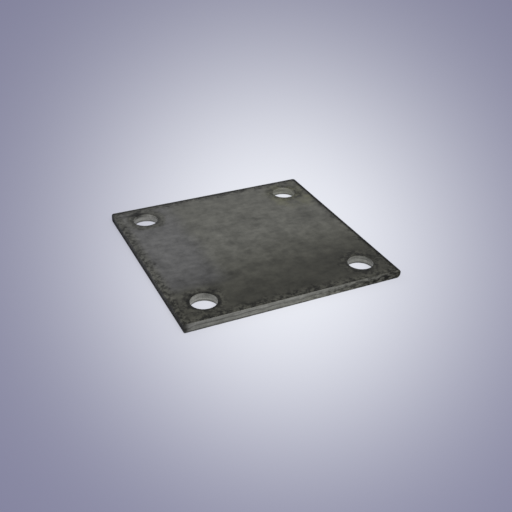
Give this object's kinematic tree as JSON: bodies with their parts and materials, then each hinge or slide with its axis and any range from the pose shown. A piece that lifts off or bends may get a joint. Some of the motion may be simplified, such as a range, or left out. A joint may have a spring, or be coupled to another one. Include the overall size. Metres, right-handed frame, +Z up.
{
  "type": "square steel cover plate",
  "caption": "Flat square plate cropped from hot-rolled steel bar, with a punched bolt hole near each corner.",
  "frame": {"origin": "centre of the underside", "axes": "+X across the bar towards the fuller rolled edge, +Y along the bar towards the back end, +Z up through the thickness, from the side where the holes break out to the side where the punch went in"},
  "size_m": [0.154, 0.1518, 0.0063],
  "materials": {
    "mill_scale_steel": "unpainted hot-rolled steel under dark grey mill scale, with brighter torn metal on the cut ends and in the holes"
  },
  "bodies": {
    "root": {"cover_plate": "mill_scale_steel"}
  },
  "joints": []
}
